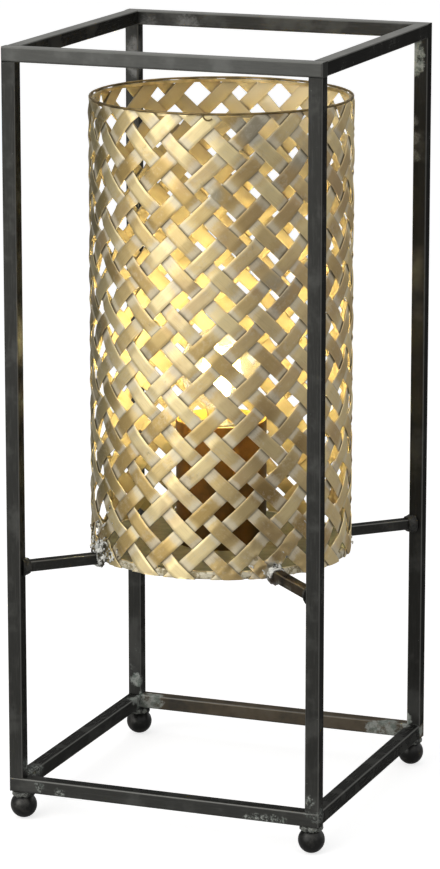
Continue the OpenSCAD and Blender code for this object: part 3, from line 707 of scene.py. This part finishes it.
def wovenBrass(name):
    look = paints(weaveLook)
    finish = Finish(name)
    under, rim, inner, tone, strip, heat, across, along = (
        finish.own(key) for key in ("under", "rim", "inner", "tone", "strip", "heat", "across", "along"))
    place = finish.place()
    shadedLeftSide, shadedRightSide, litRimSide = (
        finish.facing(place, weaveLook[key]) / weave["radius"] for key in ("shadedLeftSide", "shadedRightSide", "litRimSide"))
    drawn = finish.node("ShaderNodeCombineXYZ", {}, {0: across * 3.0, 1: along * 0.10, 2: strip * 90})
    grain = finish.noise(drawn, 1.0, 3, 0.6)
    cloud = finish.noise(place, 13, 4, 0.6)
    mottle = finish.noise(place, 3.0, 5, 0.7)
    flecks = finish.noise(place, 2.2, 4, 0.7)
    # the brass itself, from gold to brown, land by land, with painted shade towards the left and right sides
    base = finish.mix((tone * 0.8 + strip * 0.2 + cloud * 0.5).rise(0.40, 1.20), look["gold"], look["honey"])
    base = finish.mix(tone.rise(0.55, 1.0) * 0.30, base, look["brown"])
    # painted shade: darker olive towards the left side
    base = finish.mix(shadedLeftSide.rise(0.70, 0.97) * (0.6 + tone * 0.35), base, look["leftShadeOlive"])
    # painted shade: browner towards the right side
    base = finish.mix(shadedRightSide.rise(0.72, 0.98) * (strip * 0.5 + tone * 0.5 - 0.1).most(0), base, look["rightShadeUmber"])
    base = finish.mix(finish.noise(place, 21, 3, 0.5).rise(0.52, 0.70) * 0.45, base, look["rose"])
    grey = finish.near(place, weaveLook["greyLands"]) * (tone + mottle * 0.6).rise(0.45, 1.0)
    base = finish.mix(grey * 0.6, base, look["blue"])
    # grey tarnish where a strip dips under another, and stains
    dipped = (under + mottle * 0.5 - 0.25).rise(0.42, 0.74)
    tarnish = finish.mix((tone * 0.35 + cloud * 0.75).rise(0.60, 0.80) * 0.7, look["silver"], look["blue"])
    base = finish.mix(finish.near(place, weaveLook["brownSpots"]) * 0.6 * (0.4 + tone), base, look["brown"])
    base = finish.mix(dipped * 0.6, base, tarnish)
    base = finish.mix((flecks * 0.6 + cloud * 0.5).rise(0.56, 0.68) * 0.25, base, look["silver"])
    base = finish.mix((mottle * 0.7 + cloud * 0.6).rise(0.76, 0.92) * 0.45, base, look["brown"])
    base = finish.mix(grain.rise(0.52, 0.75) * 0.22, base, look["brown"])
    # heat marks, painted highlights on the edges, painted shade on the strips' sides and where a strip goes under
    # another, and solder
    scorched = finish.mix(mottle.rise(0.44, 0.56), look["scorch"], look["ash"])
    base = finish.mix(heat.rise(0.08, 0.45) * 0.8, base, scorched)
    # painted highlight along the strips' outer edges, stronger near the dented strips by the arms
    base = finish.mix(rim.rise(0.70, 0.98) * (1 - inner) * (0.25 + heat * 0.9).least(0.9), base, look["bright"])
    # painted shade on the strips' sides and at the edge where a strip goes under another
    base = finish.mix(inner.rise(0.2, 0.5) * 0.75, base, look["paintedCreviceShade"])
    base = finish.mix(under.rise(0.86, 0.99) * (1 - inner) * 0.6, base, look["paintedCreviceShade"])
    splash = (finish.near(place, weaveLook["solderSpots"]) * 0.6 + mottle * 0.7).rise(0.62, 0.74)
    base = finish.mix(splash * 0.6, base, look["solder"])
    # painted light on the inner faces near the rim, towards the back right
    lit = litRimSide.rise(0.15, 0.85) * finish.parts(place)[2].rise(345, 385)
    base = finish.mix(inner.rise(0.6, 0.9) * 0.9, base, finish.mix(lit, look["inside"], look["litRimInside"]))
    return finish.surface(
        Base_Color=base, Metallic=0.88 - dipped * 0.25 - inner * 0.35, Roughness=0.42 + dipped * 0.08 + mottle * 0.1,
        Normal=finish.bump(grain * 0.4 + mottle * 0.6 + splash * 1.5, 0.07))


brass = wovenBrass("wovenBrass")
rng = random.Random(weave["seed"])
carry(buildFamily("stripsRising", True, weave["risingSeam"], rng), brass, "lantern", "woven_brass", "weave_rising")
carry(buildFamily("stripsFalling", False, weave["fallingSeam"], rng), brass, "lantern", "woven_brass", "weave_falling")
shadeSilver = brazeSilver("solderSilver", runs["silver"], runs["dark"], runs["burnt"])
carry(roughened("shadeSolder", "shade_solder", beads["fine"], *beads["shadeLumps"], 8),
      shadeSilver, "lantern", "braze", "shade_solder")
carry(solderRuns(random.Random(runs["seed"])), shadeSilver, "lantern", "braze")
print("weave built")

# fair and dull colour, and roughness
metalLook = {
    "hoop": [(214, 196, 150), (168, 148, 102), 0.34], "wire": [(150, 128, 84), (92, 80, 54), 0.42],
    "sleeve": [(196, 172, 108), (150, 128, 78), 0.34], "zinc": [(168, 168, 165), (132, 132, 130), 0.36],
    "cap": [(186, 186, 182), (150, 150, 146), 0.30], "lead": [(150, 146, 140), (120, 116, 110), 0.4],
    "solder": [(176, 176, 172), (138, 138, 134), 0.42],
}


def plainMetal(name, key, stretch=(1, 1, 0.15), size=0.7, depth=0.03):
    fair, dull, rough = metalLook[key]
    finish = Finish(name)
    place = finish.place()
    brushed = finish.noise(finish.place(stretch), size, 3, 0.6)
    cloud = finish.noise(place, 8, 4, 0.6)
    base = finish.mix(cloud.rise(0.35, 0.68), paintColour(*fair), paintColour(*dull))
    base = finish.mix(finish.noise(place, 2.2, 3, 0.6).rise(0.62, 0.72) * 0.4, base, paintColour(*dull))
    return finish.surface(Base_Color=base, Metallic=0.85, Roughness=rough + cloud * 0.14,
                          Normal=finish.bump(brushed, depth))


coat(plainMetal("hoopBrass", "hoop", (0.15, 0.15, 1)), "top_hoop", "bottom_hoop")

plateLook = {"fair": (126, 128, 112), "dull": (104, 106, 92), "run": (206, 200, 180), "rough": 0.8,
             "runFrom": 69.6, "runTo": 70.6}


def plateBrass():  # dull, with a pale run of solder round its edge
    look = paints(plateLook)
    finish = Finish("plateBrass")
    place = finish.place()
    cloud, fine = finish.noise(place, 9, 4, 0.6), finish.noise(place, 1.8, 4, 0.65)
    x, y, z = finish.parts(place)
    out = (x * x + y * y) ** 0.5
    edge = (out + fine * 2.4).rise(plateLook["runFrom"], plateLook["runTo"])
    base = finish.mix(cloud.rise(0.35, 0.68), look["fair"], look["dull"])
    base = finish.mix(edge * 0.85, base, look["run"])
    return finish.surface(Base_Color=base, Metallic=0.2, Roughness=plateLook["rough"] + fine * 0.16,
                          Normal=finish.bump(fine * (1 + edge * 3), 0.05))


cupLook = {"fair": (118, 84, 44), "dull": (80, 64, 34), "inside": (206, 176, 86), "rough": 0.40,
           "insideTo": 24.2, "outsideFrom": 24.7}


def cupCopper():  # brown patina outside, darker towards the bottom; plain yellow brass inside
    look = paints(cupLook)
    finish = Finish("cupCopper")
    place = finish.place()
    cloud, spun = finish.noise(place, 12, 4, 0.6), finish.noise(finish.place((0.1, 0.1, 1)), 0.7, 3, 0.6)
    x, y, z = finish.parts(place)
    inside = 1 - ((x * x + y * y) ** 0.5).rise(cupLook["insideTo"], cupLook["outsideFrom"])
    base = finish.mix((cloud + z * 0.004).rise(1.05, 1.45), look["dull"], look["fair"])
    base = finish.mix(inside, base, look["inside"])
    return finish.surface(Base_Color=base, Metallic=0.8, Roughness=cupLook["rough"] + cloud * 0.12,
                          Normal=finish.bump(spun, 0.03))


coat(plateBrass(), "base_plate")
coat(cupCopper(), "holder_cup")
coat(plainMetal("sleeveBrass", "sleeve"), "threaded_tube", "spacer_sleeve", "screw_shell", "centre_contact")
coat(plainMetal("zincPlate", "zinc"), "tube_washer", "tube_nut", "terminal_screws")


def mould(name, shade, rough, depth, size):  # plastic, ceramic or black glass
    finish = Finish(name)
    place = finish.place()
    grain = finish.noise(place, size, 3, 0.6)
    cloud = finish.noise(place, 7, 3, 0.5)
    light = [min(255, 1.25 * c + 8) for c in shade]
    base = finish.mix(cloud.rise(0.4, 0.75) * 0.6, paintColour(*shade), paintColour(*light))
    return finish.surface(Base_Color=base, Roughness=rough + cloud * 0.1, Normal=finish.bump(grain, depth))


coat(mould("blackThermoset", (34, 33, 31), 0.36, 0.02, 0.6), "cord_grip", "holder_cap", "holder_body")
coat(mould("whiteCeramic", (222, 216, 202), 0.55, 0.02, 0.4), "contact_block")
print("lampholder and cup finished")

rimLook = {"radius": 71.15, "height": 392.5, "wire": 0.6, "waver": 0.10,
           "tieAngle": -74.5, "tieOut": 72.5, "tieRadius": 2.8, "tieWire": 0.42, "tieTurn": 135, "tieLead": 7.0}


def bentWire(name, points, radius, closed):
    curve = bpy.data.curves.new(name, "CURVE")
    curve.dimensions, curve.bevel_depth, curve.bevel_resolution = "3D", radius * mm, 4
    spline = curve.splines.new("POLY")
    spline.points.add(len(points) - 1)
    for spot, (x, y, z) in zip(spline.points, points):
        spot.co = (x * mm, y * mm, z * mm, 1)
    spline.use_cyclic_u, curve.use_fill_caps = closed, True
    piece = bpy.data.objects.new(name, curve)
    bpy.context.scene.collection.objects.link(piece)
    return piece


def rimPath():  # the wire wanders a little on the strips' ends
    path = []
    for k in range(240):
        angle = 2 * math.pi * k / 240
        wander = Vector((math.cos(angle) * 2.2, math.sin(angle) * 2.2, 0.7))
        out = rimLook["radius"] + rimLook["waver"] * noise.noise(wander * 2)
        height = rimLook["height"] - 0.05 + rimLook["waver"] * 0.7 * noise.noise(wander * 3)
        path.append((out * math.cos(angle), out * math.sin(angle), height))
    return path


def tiePath():  # the end first runs along the rim, then hangs down in a hook
    bends, path = [], []
    for k in range(9):
        bends.append((-rimLook["tieRadius"] - rimLook["tieLead"] * (1 - k / 8), 0.25 * math.sin(k * 0.9)))
    for k in range(1, 25):
        swing = math.radians(rimLook["tieTurn"]) * k / 24
        bends.append((-rimLook["tieRadius"] * math.cos(swing), -rimLook["tieRadius"] * 1.15 * math.sin(swing)))
    for aside, down in bends:
        angle = math.radians(rimLook["tieAngle"]) + aside / rimLook["tieOut"]
        path.append((rimLook["tieOut"] * math.cos(angle), rimLook["tieOut"] * math.sin(angle),
                     rimLook["height"] + down))
    return path


darkWire = plainMetal("darkWire", "wire", (1, 1, 1), 0.6, 0.03)
carry(bentWire("rimWire", rimPath(), rimLook["wire"], True), darkWire, "lantern", "dark_wire", "rim_wire")
carry(bentWire("rimTie", tiePath(), rimLook["tieWire"], False), darkWire, "lantern", "dark_wire", "rim_tie")
print("rim bound")

lamp = {"ball": 22.5, "centre": 242.0, "neck": 7.8, "blend": 10.0, "low": 206.5, "wall": 0.6, "haze": 0.22,
        "glow": 380.0, "bulbPower": 0.215, "bulbTint": (1.0, 0.84, 0.28), "bulbSize": 0.012, "bulbHeight": 0.243}


def glassOutline(inset):
    r, neck, blend = lamp["ball"] - inset, lamp["neck"] - inset, lamp["blend"] + inset
    side = neck + blend
    drop = math.sqrt((r + blend) ** 2 - side ** 2)
    angle = math.degrees(math.atan2(-drop, side))
    low = [(neck, lamp["low"]), (neck, lamp["centre"] - drop)]
    hollow = arc((side, lamp["centre"] - drop), blend, 180, 180 + angle, 12)[1:]
    return low + hollow + arc((0, lamp["centre"]), r, angle, 90, 40)[1:]


def clearGlass():  # clear, with a little haze that softens the light behind it
    finish = Finish("clearGlass")
    ripple = finish.noise(finish.place(), 14, 2, 0.4)
    clear, soft = (finish.node("ShaderNodeBsdfPrincipled", {}, {
        "Base Color": (1, 0.985, 0.95, 1), "Roughness": rough, "IOR": 1.45, "Transmission Weight": 1.0,
        "Normal": finish.bump(ripple, 0.25)}) for rough in (0.0, 0.24))
    finish.close(finish.node("ShaderNodeMixShader", {}, {0: lamp["haze"], 1: clear, 2: soft}))
    return finish.owner


def stemGlass():
    finish = Finish("stemGlass")
    bubbles = finish.noise(finish.place(), 2.5, 3, 0.5)
    return finish.surface(Base_Color=(0.98, 0.96, 0.9, 1), Roughness=0.06, IOR=1.45, Transmission_Weight=0.9,
                          Normal=finish.bump(bubbles, 0.08))


outside, inside = glassOutline(0), glassOutline(lamp["wall"])
bulb = turned("lampGlass", outside + inside[::-1] + outside[:1])
bulb.visible_shadow = False
carry(bulb, clearGlass(), "screw_in_lamp", "clear_glass", "lamp_glass")
coat(stemGlass(), "lamp_stem")
frame["nodes"]["lamp_stem"].visible_shadow = False

lit = Finish("litFilament")
coils = lit.noise(lit.place(), 1.1, 2, 0.5)
hot = lit.mix(coils.rise(0.35, 0.65), (1.0, 0.78, 0.38, 1), (1.0, 0.86, 0.52, 1))
lit.surface(Base_Color=(1, 0.8, 0.5, 1), Roughness=0.5, Emission_Color=hot, Emission_Strength=lamp["glow"])
coat(lit.owner, "lamp_filaments")

coat(plainMetal("leadWire", "lead", (1, 1, 1)), "lamp_wires")
coat(plainMetal("contactSolder", "solder", (1, 1, 1), 1.2, 0.1), "lamp_contact")
coat(mould("blackGlass", (26, 25, 32), 0.12, 0.01, 1.5), "lamp_insulator")

thread = {"pitch": 2.82, "root": 6.55, "depth": 0.36, "fade": 1.4, "low": 190.0, "high": 204.4, "foot": 189.5,
          "skirt": [(6.6, 205.2), (7.1, 205.8), (7.9, 206.4), (8.35, 207.2), (8.5, 208.2), (8.5, 211.2),
                    (8.42, 211.5), (8.15, 211.5), (8.1, 208.4), (7.6, 206.9), (6.2, 206.2), (6.2, 190.4)]}


def threadShape(angle, radius, height):
    if not thread["low"] - 0.01 < height < thread["high"] + 0.01 or radius < 6:
        return 0
    fade = min(1, (height - thread["low"]) / thread["fade"], (thread["high"] - height) / thread["fade"])
    turns = height / thread["pitch"] - angle / (2 * math.pi)
    return thread["depth"] * max(0, fade) * math.cos(2 * math.pi * turns)


capOutline = [(4.6, thread["foot"]), (5.6, thread["foot"] + 0.1), (6.3, thread["low"] - 0.2)]
capOutline += [(thread["root"], thread["low"] + (thread["high"] - thread["low"]) * k / 56) for k in range(57)]
cap = turned("lampCap", capOutline + thread["skirt"], 72, (0, 0), threadShape)
carry(cap, plainMetal("capMetal", "cap", (1, 1, 0.3), 0.6, 0.02), "screw_in_lamp", "cap_metal", "lamp_cap")

bulbLight = bpy.data.lights.new("bulbGlow", "POINT")
bulbLight.energy, bulbLight.color, bulbLight.shadow_soft_size = lamp["bulbPower"], lamp["bulbTint"], lamp["bulbSize"]
glow = bpy.data.objects.new("bulbGlow", bulbLight)
glow.location = (0, 0, lamp["bulbHeight"])
bpy.context.scene.collection.objects.link(glow)
glow.parent = frame["bodies"]["screw_in_lamp"]
print("lamp finished")

bpy.context.scene.view_settings.view_transform = "Standard"
